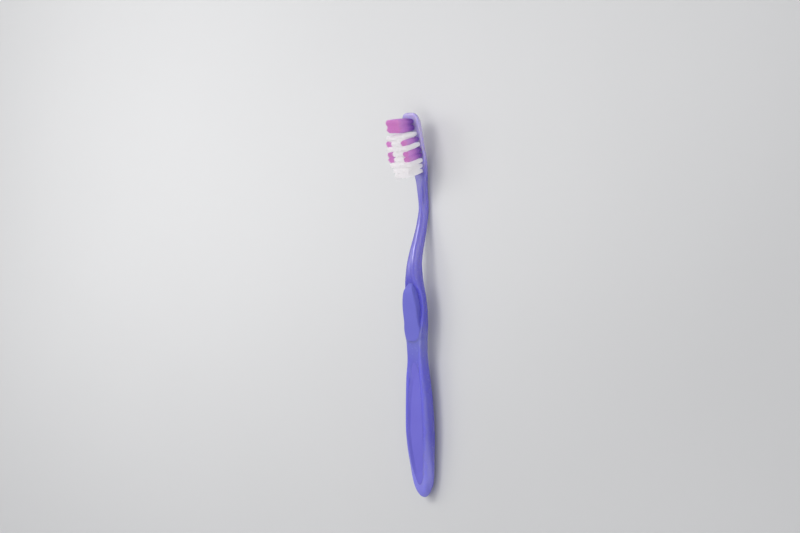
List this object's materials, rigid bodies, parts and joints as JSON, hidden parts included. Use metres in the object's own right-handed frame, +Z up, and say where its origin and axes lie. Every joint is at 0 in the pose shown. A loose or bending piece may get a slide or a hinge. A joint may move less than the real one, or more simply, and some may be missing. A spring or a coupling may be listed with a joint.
{
  "type": "manual toothbrush",
  "caption": "Manual toothbrush with an S-curved neck, soft thumb pad and grip panel, and white and purple bristle tufts.",
  "frame": {"origin": "centre of the bounding box's base, on the ground that the brush lies on with its bristles up", "axes": "+X along the brush from the tail of the handle to the head, +Y to the brush's left side, +Z up, the way the bristles point"},
  "size_m": [0.1849, 0.0158, 0.0235],
  "materials": {
    "violet_plastic": "smooth semi-gloss polypropylene",
    "soft_violet_elastomer": "fine matte overmoulded elastomer",
    "white_filament": "satin nylon bristle, slightly translucent",
    "purple_filament": "satin nylon bristle, magenta violet"
  },
  "bodies": {
    "root": {"handle": "violet_plastic", "grip_panel": "soft_violet_elastomer", "thumb_pad": "soft_violet_elastomer", "tuft_row01_1": "white_filament", "tuft_row01_2": "white_filament", "tuft_row01_3": "white_filament", "tuft_row02_1": "white_filament", "tuft_row02_2": "white_filament", "tuft_row02_3": "white_filament", "tuft_row03_1": "white_filament", "tuft_row03_2": "white_filament", "tuft_row03_3": "white_filament", "tuft_row03_4": "white_filament", "tuft_row04_1": "purple_filament", "tuft_row04_2": "white_filament", "tuft_row04_3": "white_filament", "tuft_row04_4": "purple_filament", "tuft_row05_1": "purple_filament", "tuft_row05_2": "white_filament", "tuft_row05_3": "white_filament", "tuft_row05_4": "purple_filament", "tuft_row06_1": "white_filament", "tuft_row06_2": "white_filament", "tuft_row06_3": "white_filament", "tuft_row06_4": "white_filament", "tuft_row07_1": "purple_filament", "tuft_row07_2": "white_filament", "tuft_row07_3": "white_filament", "tuft_row07_4": "purple_filament", "tuft_row08_1": "white_filament", "tuft_row08_2": "white_filament", "tuft_row08_3": "white_filament", "tuft_row09_1": "purple_filament", "tuft_row09_2": "purple_filament", "tuft_row10_1": "purple_filament", "tuft_row10_2": "purple_filament"}
  },
  "joints": []
}
